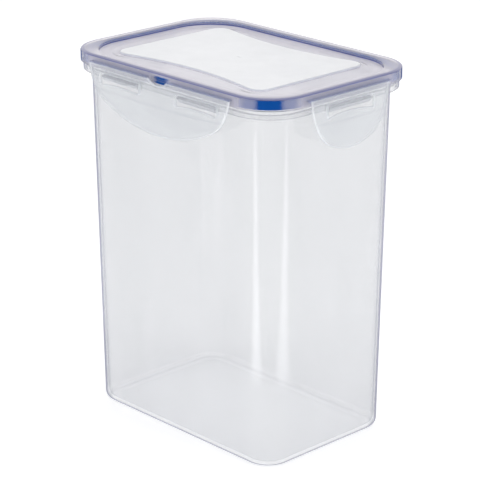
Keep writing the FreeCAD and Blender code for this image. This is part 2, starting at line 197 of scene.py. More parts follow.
def grid_faces(rows, columns, closed_rows=False):
    """Four-cornered faces of a grid whose columns wrap around, and its rows too if closed."""
    last = rows if closed_rows else rows - 1
    row = np.arange(last)[:, None]
    column = np.arange(columns)[None]
    next_row, next_column = (row + 1) % rows, (column + 1) % columns
    quads = np.stack([row * columns + column, row * columns + next_column,
                      next_row * columns + next_column, next_row * columns + column], axis=-1)
    return quads.reshape(-1, 4)


def stack(rings, heights):
    """Rings of (x, y) lifted to their heights: points (ring, place on the ring, x y z)."""
    upright = np.repeat(np.asarray(heights)[:, None, None], rings.shape[1], axis=1)
    return np.concatenate([rings, upright], axis=2)


def capped(points):
    """A stack of rings that starts and ends in a single point: vertices and faces.

    The two end points are the means of the first and the last ring."""
    rows, columns = points.shape[:2]
    faces = grid_faces(rows, columns).tolist()
    first, last = rows * columns, rows * columns + 1
    ring = np.arange(columns)
    after = (ring + 1) % columns
    top = (rows - 1) * columns
    faces += np.stack([np.full(columns, first), after, ring], axis=-1).tolist()
    faces += np.stack([np.full(columns, last), top + ring, top + after], axis=-1).tolist()
    ends = np.stack([points[0].mean(axis=0), points[-1].mean(axis=0)])
    return np.concatenate([points.reshape(-1, 3), ends]), faces


def set_numbers(piece, name, values):
    """Store one number for each point of the mesh, under a name."""
    attribute = piece.data.attributes.new(name, "FLOAT", "POINT")
    attribute.data.foreach_set("value", values)


def paint(piece, name, per_row, ends, share=0.0, second=0.0):
    """Give the points of each ring a number, and the two end points their own.

    A point's number is first * (1 - share) + second * share, where the share is given around
    the ring."""
    around = per_row[:, None] * (1 - share) + np.asarray(second)[..., None] * share
    around = np.broadcast_to(around, (len(per_row), len(ANCHORS)))
    set_numbers(piece, name, np.concatenate([around.ravel(), ends]))


print("faces between two rings:", len(grid_faces(2, len(ANCHORS))))

# %% [markdown]
# ## The container
# One moulding: a slightly recessed base on a foot ring, walls with about one degree of draft, a
# collar that is hollow underneath, and a thin lip that the sealing ring sits on. The profile
# starts under the middle of the base, goes out and up the outside, over the lip, down the
# inside and back to the middle of the floor. Its corner heights are in millimetres.

# %% Container profile
_, wall_high = [np.array(corner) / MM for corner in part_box("container")]
WALL_INSET = HALF_LENGTH - wall_high[0]
WALL_TOP = wall_high[2]
DRAFT = 3.1
WALL = 1.6
FOOT_INSET = WALL_INSET + DRAFT
MIDDLE_INSET = 19.0
BASE_TOP, COLLAR_LOW = 1.7, 174.0


def wall_inset(height, depth=0.0):
    """The inset of the drafted wall at a height, and depth further inside."""
    return FOOT_INSET - DRAFT * height / WALL_TOP + depth


CONTAINER_PROFILE = [
    (MIDDLE_INSET, 0.7, 0.0),
    (16.6, 0.7, 0.6),
    (15.6, 0.0, 0.6),
    (wall_inset(0.0), 0.0, 4.6),
    (wall_inset(60.0), 60.0, 0.0),
    (wall_inset(120.0), 120.0, 0.0),
    (wall_inset(176.4), 176.4, 0.6),
    (2.7, 176.4, 0.4),
    (2.7, 174.8, 0.3),
    (1.3, 174.8, 0.3),
    (1.3, 178.9, 0.4),
    (2.8, 178.9, 0.3),
    (2.8, 181.5, 0.4),
    (4.4, 181.5, 0.4),
    (4.4, 177.9, 0.4),
    (6.1, 177.9, 0.5),
    (7.1, 176.9, 0.5),
    (wall_inset(120.0, WALL), 120.0, 0.0),
    (wall_inset(60.0, WALL), 60.0, 0.0),
    (wall_inset(1.6, WALL), 1.6, 3.0),
    (MIDDLE_INSET, 1.6, 0.0),
]
print("base inset %.1f mm, rim inset %.1f mm" % (wall_inset(0.0), WALL_INSET))

# %% [markdown]
# The base is flat, so its middle is closed by two smaller rings and a fan. The haze thickens
# only on the outside of the wall: the inside would darken the same edge twice.

# %% Container mesh


def make_container():
    """The profile carried along the path, with two smaller copies of each end ring.

    Two numbers are painted: the share of the wall's haze and gloss, cut on the base as painted
    light so that the base looks as pale as the walls above the shaded floor, and skin, how far
    the haze thickens where the surface is seen edge on."""
    profile = rounded_profile(CONTAINER_PROFILE, arc_steps=7)
    middle, scales = np.full(2, MIDDLE_INSET), np.array([0.3, 0.65])
    rings = np.concatenate([ring_points(middle, scales), ring_points(profile[:, 0]),
                            ring_points(middle, scales[::-1])])
    insets, heights = np.pad(profile, ((2, 2), (0, 0)), mode="edge").T
    vertices, faces = capped(stack(rings, heights))
    piece = mesh_object("container_moulding", vertices, faces, "container")
    # Painted light: the base keeps only 0.35 of the haze and the gloss, so that it looks as pale as
    # the walls.
    paint(piece, "milk_and_painted_light", np.where(heights < BASE_TOP, 0.35, 1.0), [0.35, 0.35])
    outside = np.arange(len(heights)) < np.argmax(heights == heights.max())
    flat = (heights < BASE_TOP) & (insets > FOOT_INSET + 3)
    skin = np.where(outside, 1.0, 0.15) * ~flat * np.where(heights > COLLAR_LOW, 0.6, 1.0)
    paint(piece, "skin", skin, [0.0, 0.0])
    return piece


container = make_container()
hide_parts("container", "container_rim")

# %% [markdown]
# ## The sealing ring
# A closed band of silicone with a web against the groove's roof, a leg down the inside of the
# skirt, which is what gives the rim its blue, and a soft bead on the container's lip. It could
# be a curve with a bevel, but the section isn't the same at the inside and the outside, so it
# is a closed profile carried along the shared path.

# %% Sealing ring
GASKET_PROFILE = [
    (1.45, 179.4, 0.3),
    (1.45, 183.95, 0.3),
    (3.3, 183.95, 0.3),
    (3.4, 181.9, 0.2),
    (3.3, 181.5, 0.2),
    (2.9, 181.5, 0.2),
    (2.8, 182.0, 0.2),
    (2.4, 182.0, 0.3),
    (2.4, 179.4, 0.4),
]


def make_gasket():
    """The closed profile carried along the path: a grid that wraps both ways."""
    profile = rounded_profile(GASKET_PROFILE, closed=True, arc_steps=4)
    points = stack(ring_points(profile[:, 0]), profile[:, 1])
    faces = grid_faces(points.shape[0], points.shape[1], closed_rows=True).tolist()
    return mesh_object("sealing_ring", points.reshape(-1, 3), faces, "lid")


gasket = make_gasket()
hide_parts("gasket")

# %% [markdown]
# ## The stacking pad
# The lid's top is a narrow raised rim, a recess, and a stacking pad whose long edges curve in
# towards the middle. The pad's outline isn't parallel to the rim, so its rings are found along
# rays from the middle: each ray is cut where a distance-like function of the pad crosses zero,
# by halving an interval many times for all rays at once.

# %% Stacking pad
PAD_HALF_LENGTH, PAD_HALF_WIDTH, PAD_WAIST = 50.5, 37.3, 29.5
PAD_CORNER = 9.0
PAD_TOP, PANEL_TOP = 184.1, 183.0
HALVINGS = 40
PAD_EDGE = rounded_profile([(-3.0, PAD_TOP, 0), (0.0, PAD_TOP, 0.7), (0.3, PANEL_TOP, 0.5),
                            (3.0, PANEL_TOP, 0)], arc_steps=6)


def pad_distance(x, y):
    """How far a point is outside the waisted pad: two bounds joined by a rounded corner.

    The long edge is at waist + (half width - waist) * (x / half length) squared."""
    past_x = np.abs(x) - PAD_HALF_LENGTH + PAD_CORNER
    edge_y = PAD_WAIST + (PAD_HALF_WIDTH - PAD_WAIST) * (x / PAD_HALF_LENGTH) ** 2
    past_y = np.abs(y) - edge_y + PAD_CORNER
    outside = np.hypot(np.maximum(past_x, 0), np.maximum(past_y, 0))
    return outside + np.minimum(np.maximum(past_x, past_y), 0) - PAD_CORNER


def pad_ring(offset):
    """The pad's outline moved outwards by an offset, one point on each ray."""
    rays = ring_points(np.zeros(1))[0]
    near, far = np.zeros(len(rays)), np.ones(len(rays))
    for _ in range(HALVINGS):
        middle = (near + far) / 2
        inside = pad_distance(rays[:, 0] * middle, rays[:, 1] * middle) < offset
        near, far = np.where(inside, middle, near), np.where(inside, far, middle)
    return rays * near[:, None]


print("pad half length %.1f mm" % pad_ring(0.0)[:, 0].max())

# %% [markdown]
# ## Where the blue shows clear
# Over most of the rim the blue looks dull and milky through the skirt. At the corners, and
# behind the notch of each long flap, the skirt's haze and gloss are taken away, so that the
# ring's blue shows deep: painted light, standing in for places where the rounded skirt reflects
# little of the white surroundings. Two shares around the path say where: one is full within 14
# degrees of a corner's middle and fades in two steps, the other covers the notch.

# %% Where the skirt is painted clear
CORNER_TURN = np.degrees(np.arctan2(NORMALS[:, 1], NORMALS[:, 0])) % 90.0 - 45.0
IN_CORNER = (1 - 0.4 * np.clip((np.abs(CORNER_TURN) - 14.0) / 6.0, 0, 1)
             - 0.6 * np.clip((np.abs(CORNER_TURN) - 34.0) / 8.0, 0, 1))
AT_NOTCH = (np.abs(ANCHORS[:, 0]) < 5.8) & (np.abs(NORMALS[:, 1]) > 0.99)
print("path points at a notch:", int(AT_NOTCH.sum()))

# %% [markdown]
# ## The lid
# The lid is one stack of rings, from the middle of the pad over its edge, across the recess, up
# and over the rim, down the skirt, round the groove and the plug wall, and back underneath.

# %% Lid profiles
CORNER_FLARE = 7.0
LID_RECESS = [
    (12.5, PANEL_TOP, 0.0),
    (9.5, PANEL_TOP, 0.0),
    (6.0, PANEL_TOP, 0.4),
    (5.9, 184.5, 0.6),
    (4.0, 184.95, 0.0),
]
LID_OUTSIDE = [
    (2.7, TOTAL_HEIGHT, 0.0),
    (1.6, 184.95, 0.0),
    (0.0, 184.6, 1.25),
    (0.0, 183.6, 0.0),
    (0.0, 183.2, 0.0),
    (0.0, 179.0, 0.4),
    (1.35, 179.0, 0.4),
    (1.35, 183.2, 0.0),
    (1.35, 183.6, 0.0),
    (1.35, 184.05, 0.3),
    (3.5, 184.05, 0.3),
    (3.5, 182.45, 0.2),
    (4.8, 182.45, 0.3),
    (4.8, 178.4, 0.5),
    (6.1, 178.4, 0.5),
    (6.1, 181.6, 0.5),
    (MIDDLE_INSET, 181.6, 0.0),
]
print("corners in the lid's profiles:", len(LID_RECESS) + len(LID_OUTSIDE))

# %% [markdown]
# ## How milky each part of the lid is
# The plastic is thicker and hazier on the panel and the rim's crown, and clearer on the wall
# between them. Each ring gets a row of five numbers: its height, its milkiness, whether it is on
# the pad, how strongly it carries a painted dark blue line that stands in for the ring's blue
# seen refracted in an edge, and its milkiness where the skirt is painted clear.

# %% Lid numbers
PANEL_MILK, SKIRT_MILK, CROWN_MILK = 1.8, 2.4, 2.0
RECESS_CORNER = 6.2


def pad_rows(height):
    """Rows for the pad's rings: the ramp down to the panel carries a faint painted dark edge line.
    """
    milk_and_painted_light = np.full(len(height), PANEL_MILK)
    on_ramp = 0.4 * ((height > PANEL_TOP + 0.1) & (height < PAD_TOP - 0.1))
    return np.stack([height, milk_and_painted_light, height > PANEL_TOP + 0.3, on_ramp, milk_and_painted_light], axis=1)


def recess_rows(inset, height):
    """Rows for the recess: crown, upper wall, lower wall, milky foot and panel in turn."""
    milk_and_painted_light = np.select([height > 184.4, height > 183.6, inset < RECESS_CORNER, inset < 10.0],
                     [CROWN_MILK, 1.2, 0.3, 2.6], PANEL_MILK)
    # The foot of the recess wall carries the painted dark blue edge line in full: a painted image
    # of the ring seen refracted.
    foot = (height < 183.5) & (inset < RECESS_CORNER)
    return np.stack([height, milk_and_painted_light, 0 * height, foot, milk_and_painted_light], axis=1)


def outside_rows(inset, height):
    """Rows for the rim, the skirt and the underside: where it is painted clear, the skirt has no
    haze.
    """
    skirt = (inset < 1.5) & (height < 184.5)
    milk_and_painted_light = np.select([skirt, (height > 184.4) & (inset < 3.0)], [SKIRT_MILK, CROWN_MILK], 0.5)
    # The rim's outer shoulder carries most of the painted dark blue edge line: a painted image of
    # the ring seen refracted.
    shoulder = 0.9 * ((height > 184.3) & (height < 184.97) & (inset < 1.7))
    return np.stack([height, milk_and_painted_light, 0 * height, shoulder, np.where(skirt, 0.0, milk_and_painted_light)], axis=1)


print("milk on the panel, the skirt and the crown:", PANEL_MILK, SKIRT_MILK, CROWN_MILK)

# %% [markdown]
# The three sets of rings are now joined. The order is turned round at the end, because faces
# made from rings that go outwards over the top would point down.

# %% Lid mesh


def make_lid():
    """Join the three sets of rings, turn them so that faces point out, and paint them.

    The innermost pad ring is repeated at four smaller sizes, and the underside's at two."""
    innermost, shares = pad_ring(PAD_EDGE[0, 0]), np.array([0.04, 0.3, 0.6, 0.85])
    recess = rounded_profile(LID_RECESS, arc_steps=7)
    outside = rounded_profile(LID_OUTSIDE, arc_steps=7)
    rings = np.concatenate([
        innermost * shares[:, None, None], [pad_ring(offset) for offset in PAD_EDGE[:, 0]],
        ring_points(recess[:, 0], flare=CORNER_FLARE), ring_points(outside[:, 0]),
        ring_points(np.full(2, MIDDLE_INSET), np.array([0.65, 0.3]))])[::-1]
    under = outside[-1, 1]
    rows = np.concatenate([
        pad_rows(np.concatenate([np.full(4, PAD_TOP), PAD_EDGE[:, 1]])),
        recess_rows(*recess.T), outside_rows(*outside.T),
        [(under, 1.0, 0.0, 0.0, 1.0)] * 2])[::-1]
    height, milk_and_painted_light, pad, edge, milk_where_painted_clear = rows.T
    vertices, faces = capped(stack(rings, height))
    piece = mesh_object("lid_moulding", vertices, faces, "lid")
    on_skirt = milk_where_painted_clear == 0.0
    # Painted light: where this share is full the skirt loses its haze and gloss, so the ring looks
    # deep blue.
    painted_clear_blue_share = np.maximum(IN_CORNER, AT_NOTCH * (on_skirt & (height < 183.4))[:, None])
    paint(piece, "milk_and_painted_light", milk_and_painted_light, [1.0, 1.0], painted_clear_blue_share, milk_where_painted_clear)
    paint(piece, "pad", pad, [0.0, 1.0])
    paint(piece, "skin", np.where(on_skirt, 1.0, 0.03), [0.03, 0.03])
    paint(piece, "edge", edge, [0.0, 0.0])
    return piece


lid = make_lid()
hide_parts("lid")

# %% [markdown]
# ## The snap flaps
# A flap is a plate with slots, a notch and a soft thumb pad. Its outline comes from a signed
# distance: negative on the plate, positive off it. Bounds are joined with rounded corners, and
# a slot or the notch is cut by taking the larger of one distance and the other's negative.

# %% Flap outlines
FLAP_INNER, FLAP_OUTER = 1.2, 3.0
FLAP_TOP = 182.0
LONG_FLAP = dict(half=49.3, low=155.3, bow=82.0, corner=11.0, slots=(-26.75, 26.75),
                 slot_half=13.75, slot_low=173.6, slot_high=177.8, arch=1.0, notch=True)
SHORT_FLAP = dict(half=30.4, low=155.6, bow=30.5, corner=16.0, slots=(0.0,),
                  slot_half=15.0, slot_low=173.5, slot_high=178.1, arch=1.7, notch=False)
SLOT_CORNER = 1.2
NOTCH_RADIUS, NOTCH_DEPTH = 8.7, 2.4


def rounded_meeting(a, b, radius):
    """The meeting of two bounds, each given as a distance, with a rounded corner between."""
    a, b = a + radius, b + radius
    return np.hypot(np.maximum(a, 0), np.maximum(b, 0)) + np.minimum(np.maximum(a, b), 0) - radius


def slot_distance(x, z, middle, flap):
    """How far a point is outside one slot, whose lower edge arches up in the middle."""
    across = np.abs(x - middle) - flap["slot_half"]
    lower = flap["slot_low"] - flap["arch"] * np.clip((x - middle) / flap["slot_half"], -1, 1) ** 2
    centre, half = (flap["slot_high"] + lower) / 2, (flap["slot_high"] - lower) / 2
    return rounded_meeting(across, np.abs(z - centre) - half, SLOT_CORNER)


def bowl_distance(x, z, flap):
    """How far a point is outside the circle that rounds the flap's lower edge."""
    return np.hypot(x, z - flap["low"] - flap["bow"]) - flap["bow"]


def plate_distance(x, z, flap):
    """How far a point is off the plate: outline, slots and notch together."""
    side = np.abs(x) - flap["half"]
    bowl = np.where(z > flap["low"] + flap["bow"], -flap["bow"], bowl_distance(x, z, flap))
    distance = np.maximum(rounded_meeting(side, bowl, flap["corner"]), z - FLAP_TOP)
    for middle in flap["slots"]:
        distance = np.maximum(distance, -slot_distance(x, z, middle, flap))
    if flap["notch"]:
        centre = FLAP_TOP - NOTCH_DEPTH + NOTCH_RADIUS
        distance = np.maximum(distance, NOTCH_RADIUS - np.hypot(x, z - centre))
    return distance


print("distance at the long flap's lowest point:",
      float(plate_distance(np.zeros(1), np.array([LONG_FLAP["low"]]), LONG_FLAP)[0]))

# %% [markdown]
# ## The relief on a flap's front
# The lower part is a thumb pad that stands a little proud, with an edge that sags towards the
# sides, and the plate is thinner in a strip above each slot.

# %% Flap relief
THUMB_RELIEF, THUMB_LOW, THUMB_HIGH, THUMB_SAG = 0.45, 170.4, 171.6, 1.2
STRIP_DEPTH, STRIP_MARGIN = 0.6, 0.6


def smooth_step(value, low, high):
    """0 below low, 1 above high, and a smooth rise between: 3t^2 - 2t^3."""
    share = np.clip((value - low) / (high - low), 0, 1)
    return share * share * (3 - 2 * share)


def front_relief(x, z, flap):
    """Height added to the flap's front: products of smooth steps in from each boundary."""
    sag = THUMB_SAG * (1 - (x / flap["half"]) ** 2)
    relief = THUMB_RELIEF * (1 - smooth_step(z, THUMB_LOW - sag, THUMB_HIGH - sag))
    relief = (relief * smooth_step(-bowl_distance(x, z, flap), 0.8, 2.4)
              * smooth_step(flap["half"] - np.abs(x), 0.8, 2.4))
    for middle in flap["slots"]:
        across = smooth_step(flap["slot_half"] + STRIP_MARGIN - np.abs(x - middle), 0, 0.6)
        upright = smooth_step(z, 177.2, 177.6) * (1 - smooth_step(z, 180.0, 180.5))
        relief = relief - STRIP_DEPTH * across * upright
    return relief


print("thumb pad stands %.2f mm proud" % THUMB_RELIEF)

# %% [markdown]
# ## From outline to mesh
# A fine grid keeps the cells whose middle is on the plate, and the vertices along the edge are
# moved onto the outline down the slope of the distance. A Boolean modifier would cut the same
# holes, but it leaves long thin faces that shade badly. The same distance rounds the edges.

# %% Flap grid
CELL = 0.36
EDGE_ROUND = 0.62


def snap_to_outline(x, z, flap, which):
    """Move the chosen points onto the outline by steps of distance down its own slope."""
    small = 0.01
    for _ in range(4):
        distance = plate_distance(x, z, flap)
        slope_x = (plate_distance(x + small, z, flap)
                   - plate_distance(x - small, z, flap)) / (2 * small)
        slope_z = (plate_distance(x, z + small, flap)
                   - plate_distance(x, z - small, flap)) / (2 * small)
        steep = np.maximum(slope_x ** 2 + slope_z ** 2, 0.25)
        x = np.where(which, x - distance * slope_x / steep, x)
        z = np.where(which, z - distance * slope_z / steep, z)
    return x, z


def plate_grid(flap):
    """The grid of one flap: its points, and which cells are on the plate.

    A point is on the edge if some, but not all, of the four cells around it are kept."""
    columns = 2 * math.ceil(flap["half"] / CELL)
    rows = math.ceil((FLAP_TOP - flap["low"]) / CELL)
    x_line = np.linspace(-flap["half"], flap["half"], columns + 1)
    z_line = np.linspace(flap["low"], FLAP_TOP, rows + 1)
    x, z = np.meshgrid(x_line, z_line, indexing="ij")
    middles = np.meshgrid((x_line[1:] + x_line[:-1]) / 2, (z_line[1:] + z_line[:-1]) / 2,
                          indexing="ij")
    kept = plate_distance(*middles, flap) < 0
    padded = np.pad(kept, 1)
    around = np.stack([padded[:-1, :-1], padded[1:, :-1], padded[:-1, 1:], padded[1:, 1:]])
    x, z = snap_to_outline(x, z, flap, around.any(axis=0) & ~around.all(axis=0))
    return x, z, kept, padded


def plate_faces(kept, padded):
    """Front and back of every kept cell, and a wall wherever a kept cell has no neighbour.

    The back layer's points follow the front layer's in the numbering."""
    columns, rows = kept.shape[0] + 1, kept.shape[1] + 1
    layer = columns * rows
    index = np.arange(layer).reshape(columns, rows)
    i, j = np.nonzero(kept)
    cell = np.stack([index[i, j], index[i + 1, j], index[i + 1, j + 1], index[i, j + 1]], axis=-1)
    faces = [cell, cell[:, ::-1] + layer]
    for di, dj, a, b in ((-1, 0, (0, 1), (0, 0)), (1, 0, (1, 0), (1, 1)),
                         (0, -1, (0, 0), (1, 0)), (0, 1, (1, 1), (0, 1))):
        bare = kept & ~padded[1 + di:columns + di, 1 + dj:rows + dj]
        i, j = np.nonzero(bare)
        start, end = index[i + a[0], j + a[1]], index[i + b[0], j + b[1]]
        faces.append(np.stack([end, start, start + layer, end + layer], axis=-1))
    return np.concatenate(faces)


print("cells in the long flap's plate:", int(plate_grid(LONG_FLAP)[2].sum()))

# %% [markdown]
# One function makes all four flaps. The long ones are alike, and so are the short ones, so the
# side only decides how far the plate is turned and how far out it stands.

# %% Flap meshes


def make_flap(name, flap, turn, half, body):
    """A closed plate: a front with relief, a flat back, and walls around every edge.

    The front's edge is a quarter circle: radius - sqrt(radius^2 - (radius - depth)^2). The
    plate is made on the front side and turned about the upright axis to its own side."""
    x, z, kept, padded = plate_grid(flap)
    depth = np.maximum(-plate_distance(x, z, flap), 0)
    rounding = EDGE_ROUND - np.sqrt(EDGE_ROUND ** 2 - np.maximum(EDGE_ROUND - depth, 0) ** 2)
    front = FLAP_OUTER + front_relief(x, z, flap) - rounding
    back = FLAP_INNER + 0.6 * rounding
    across, upright = np.tile(x.ravel(), 2), np.tile(z.ravel(), 2)
    outward = -half - np.concatenate([front.ravel(), back.ravel()])
    c, s = math.cos(turn), math.sin(turn)
    points = np.stack([c * across - s * outward, s * across + c * outward, upright], axis=1)
    used, faces = np.unique(plate_faces(kept, padded), return_inverse=True)
    piece = mesh_object(name, points[used], faces.reshape(-1, 4).tolist(), body)
    # Near its outline the plate carries the painted pale edge highlight.
    set_numbers(piece, "edge", np.tile(1 - smooth_step(depth, 0.2, 0.7).ravel(), 2)[used])
    return piece


flaps = {}
for side, quarter, flap, half in (("front", 0, LONG_FLAP, HALF_WIDTH),
                                  ("right", 1, SHORT_FLAP, HALF_LENGTH),
                                  ("back", 2, LONG_FLAP, HALF_WIDTH),
                                  ("left", 3, SHORT_FLAP, HALF_LENGTH)):
    piece = make_flap(side + "_snap_flap", flap, quarter * math.pi / 2, half, side + "_flap")
    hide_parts(side + "_flap")
    flaps[side] = piece

# %% [markdown]
# ## Shader maths
# A material is an expression. A small class wraps a socket and gives it the usual operators, so
# that `1 - mask * 0.5` adds its own Math nodes, and one method adds any other node.

# %% A socket that can be calculated with


class Value:
    """A number socket that can be added, multiplied and so on."""

    def __init__(self, tree, socket):
        self.tree, self.socket = tree, socket

    def maths(self, operation, a, b):
        node = self.tree.nodes.new("ShaderNodeMath")
        node.operation = operation
        for socket, value in zip(node.inputs, (a, b)):
            if isinstance(value, Value):
                self.tree.links.new(value.socket, socket)
            else:
                socket.default_value = value
        return Value(self.tree, node.outputs[0])

    def least(self, other):
        """The smaller of the two."""
        return self.maths("MINIMUM", self, other)

    def above(self, limit):
        """1 where the number is above the limit, and 0 elsewhere."""
        return self.maths("GREATER_THAN", self, limit)

    def __add__(self, other):
        return self.maths("ADD", self, other)

    def __mul__(self, other):
        return self.maths("MULTIPLY", self, other)

    def __rsub__(self, other):
        return self.maths("SUBTRACT", other, self)

    def __pow__(self, other):
        return self.maths("POWER", self, other)

    __radd__, __rmul__ = __add__, __mul__


print("operators:", [name for name in vars(Value) if name.startswith(("__r", "__a", "__m", "__p"))])

# %% [markdown]
# The same method serves a material and the world, because both are trees of nodes.

# %% Node trees


class Nodes:
    """The nodes of a material or of the world, under construction."""

    def __init__(self, tree):
        self.tree = tree
        self.tree.nodes.clear()

    def node(self, kind, settings, inputs, output=0):
        """Add a node: settings first, then the values or links of its sockets."""
        node = self.tree.nodes.new("ShaderNode" + kind)
        for key, value in settings.items():
            setattr(node, key, value)
        for key, value in inputs.items():
            if isinstance(value, Value):
                self.tree.links.new(value.socket, node.inputs[key])
            else:
                node.inputs[key].default_value = value
        return Value(self.tree, node.outputs[output]) if node.outputs else None

    def blend(self, share, first, second):
        """One colour turning into another as the share goes from 0 to 1."""
        first, second = [c if isinstance(c, Value) else (*c, 1.0) for c in (first, second)]
        return self.node("Mix", {"data_type": "RGBA"}, {0: share, 6: first, 7: second}, output=2)

    def mix(self, share, first, second):
        """One shader turning into another as the share goes from 0 to 1."""
        return self.node("MixShader", {}, {0: share, 1: first, 2: second})

    def place(self):
        """Object coordinates."""
        return self.node("TexCoord", {}, {}, output=3)

    def noise(self, place, scale, detail=2.0):
        return self.node("TexNoise", {}, {"Vector": place, "Scale": scale, "Detail": detail})

    def painted(self, name):
        """A number that was painted on the mesh under this name."""
        return self.node("Attribute", {"attribute_name": name}, {}, output=2)


class Finish(Nodes):
    """A material under construction."""

    def __init__(self, name):
        self.material = bpy.data.materials.new(name)
        self.material.use_nodes = True
        super().__init__(self.material.node_tree)

    def done(self, shader):
        self.node("OutputMaterial", {}, {"Surface": shader})
        print("material", self.material.name, len(self.tree.nodes), "nodes")
        return self.material


print("materials so far:", len(bpy.data.materials))

# %% [markdown]
# ## Translucent polypropylene
# The plastic is clear with a slight milkiness, so one wall takes a little light and gives back a
# soft grey. Mixing a see-through shader with a hazy one does this for a thin wall with no
# refraction noise. Where the wall is seen edge on, the eye looks along more plastic, so the haze
# thickens there towards a deeper colour. A share of clear gloss lies over both: 4% straight on,
# and more at a glancing angle, as the fifth power of the facing value gives. Flow lines from
# moulding and fine unevenness vary the haze and the gloss.
#
# The numbers painted on the meshes come in here: milkiness multiplies the haze and caps the gloss,
# and where it is cut on the container's base and at the lid's corners and notches that is painted
# light; skin sets the thickening, pad adds a whiter haze, and edge adds painted edge shading in a
# colour of its own: dark blue lines on the lid, pale highlights on the flaps.

# %% Plastic
STRAIGHT_GLOSS = 0.04
PAD_COLOUR = (0.97, 0.98, 0.99)
NOTCH_WINDOW = 7.6 * MM


def add_haze(finish, amount, colour, share, more, new_colour):
    """More haze where the share is 1, and its colour turned into the new one."""
    return amount + share * more, finish.blend(share, colour, new_colour)


def plastic(name, haze, haze_colour, tint, silhouette=0.7, spread=8.0,
            depth_colour=(0.30, 0.31, 0.40), glance=0.25, glancing_haze=0.0, painted=False,
            pad_haze=0.0, painted_edge_shading=0.0, painted_edge_colour=(1.0, 1.0, 1.0), window=False):
    """See-through, hazy and deep shaders mixed by shares, under a clear gloss.

    The haze is haze * (0.75 + 0.5 * flow), the thickening silhouette * facing ^ spread, and the
    gloss 0.04 + glance * facing ^ 5. A window clears the haze behind the notch."""
    finish = Finish(name)
    place = finish.place()
    stretched = finish.node("Mapping", {}, {"Vector": place, "Scale": (38.0, 38.0, 9.0)})
    flow = finish.noise(stretched, 1.0, 3.0)
    cloud = finish.noise(place, 55.0)
    facing = finish.node("LayerWeight", {}, {"Blend": 0.5}, output=1)
    bump = finish.node("Bump", {}, {"Strength": 0.05, "Distance": 0.0006,
                                    "Height": finish.noise(place, 140.0)})
    amount, thickening = haze * (0.75 + 0.5 * flow), silhouette * facing ** spread
    gloss = STRAIGHT_GLOSS + glance * facing ** 5.0
    if glancing_haze:
        amount = amount * (1.0 + glancing_haze * facing ** 4.0)
    if painted:
        milk_and_painted_light = finish.painted("milk_and_painted_light")
        amount, thickening = amount * milk_and_painted_light, thickening * finish.painted("skin")
        # The gloss is cut wherever the painted number is below one; on the container's base and the
        # lid's clear skirt this is painted light that takes the reflections away.
        gloss = gloss * milk_and_painted_light.least(1.0)
    colour = finish.blend(cloud, haze_colour, [c * 0.94 for c in haze_colour])
    if window:
        across = finish.node("SeparateXYZ", {}, {0: place})
        amount = amount * (across * across).above(NOTCH_WINDOW ** 2)
    if pad_haze:
        amount, colour = add_haze(finish, amount, colour, finish.painted("pad"),
                                  pad_haze, PAD_COLOUR)
    # Painted edge shading: along the painted edges the haze grows and turns to a colour of its own,
    # less where the edge is seen at a glance.
    if painted_edge_shading:
        on_painted_edge = finish.painted("edge") * (1.0 - facing ** 3.0)
        amount, colour = add_haze(finish, amount, colour, on_painted_edge, painted_edge_shading, painted_edge_colour)
    dull = {"Roughness": 0.5, "Specular IOR Level": 0.0}
    soft = finish.node("BsdfPrincipled", {}, {"Base Color": colour, "Normal": bump, **dull})
    through = finish.node("BsdfTransparent", {}, {"Color": (*tint, 1.0)})
    deep = finish.node("BsdfPrincipled", {}, {"Base Color": (*depth_colour, 1.0), **dull})
    body = finish.mix(thickening, finish.mix(amount, through, soft), deep)
    shine = finish.node("BsdfGlossy", {}, {"Color": (1.0, 1.0, 1.0, 1.0), "Normal": bump,
                                           "Roughness": 0.12 + 0.06 * cloud})
    return finish.done(finish.mix(gloss, body, shine))


# %% [markdown]
# One plastic, but each part is of a different thickness. The lid is milkier and slightly
# lavender from the ring below it, with painted dark blue lines along some edges, the films are
# thin and darker, and the flaps carry a painted pale highlight along their edges.

# %% Five kinds of the same plastic
container_plastic = plastic("container_polypropylene", 0.142, (0.53, 0.54, 0.56),
                            (0.985, 0.987, 0.99), silhouette=2.8, spread=5.0, glance=0.04,
                            painted=True)
lug_plastic = plastic("lug_polypropylene", 0.25, (0.50, 0.52, 0.56), (0.98, 0.985, 0.99))
lid_plastic = plastic("lid_polypropylene", 0.14, (0.78, 0.75, 0.82), (0.985, 0.985, 0.99),
                      silhouette=2.5, spread=5.0, depth_colour=(0.05, 0.08, 0.22), glance=0.5,
                      glancing_haze=4.0, painted=True, pad_haze=0.3, painted_edge_shading=0.75,
                      painted_edge_colour=(0.07, 0.09, 0.28))
film_plastic = plastic("film_polypropylene", 0.32, (0.30, 0.34, 0.52), (0.98, 0.985, 0.99),
                       silhouette=0.2, window=True)
flap_plastic = plastic("flap_polypropylene", 0.20, (0.60, 0.62, 0.65), (0.98, 0.985, 0.99),
                       silhouette=0.15, painted_edge_shading=0.2, painted_edge_colour=(0.92, 0.94, 0.97))

# %% [markdown]
# ## Blue silicone
# The ring is opaque, deep blue and satin, with a very fine moulded skin. One principled shader
# is enough, with a faint mottle in its colour and roughness.

# %% Silicone


def silicone(name):
    """A satin blue with a mottle in colour and roughness, and a fine bump."""
    finish = Finish(name)
    place = finish.place()
    mottle = finish.noise(place, 90.0, 3.0)
    bump = finish.node("Bump", {}, {"Strength": 0.12, "Distance": 0.0002,
                                    "Height": finish.noise(place, 1500.0)})
    colour = finish.blend(mottle, (0.001, 0.062, 0.30), (0.003, 0.090, 0.38))
    return finish.done(finish.node("BsdfPrincipled", {}, {
        "Base Color": colour, "IOR": 1.41, "Normal": bump, "Specular IOR Level": 0.08,
        "Roughness": 0.32 + 0.12 * mottle}))


blue_silicone = silicone("blue_silicone")

# %% [markdown]
# ## Dressing the pieces
# Every new piece gets its finish. The hinge films and the locking lugs are the CAD's own
# solids, and only their material changes.

# %% Dress the pieces


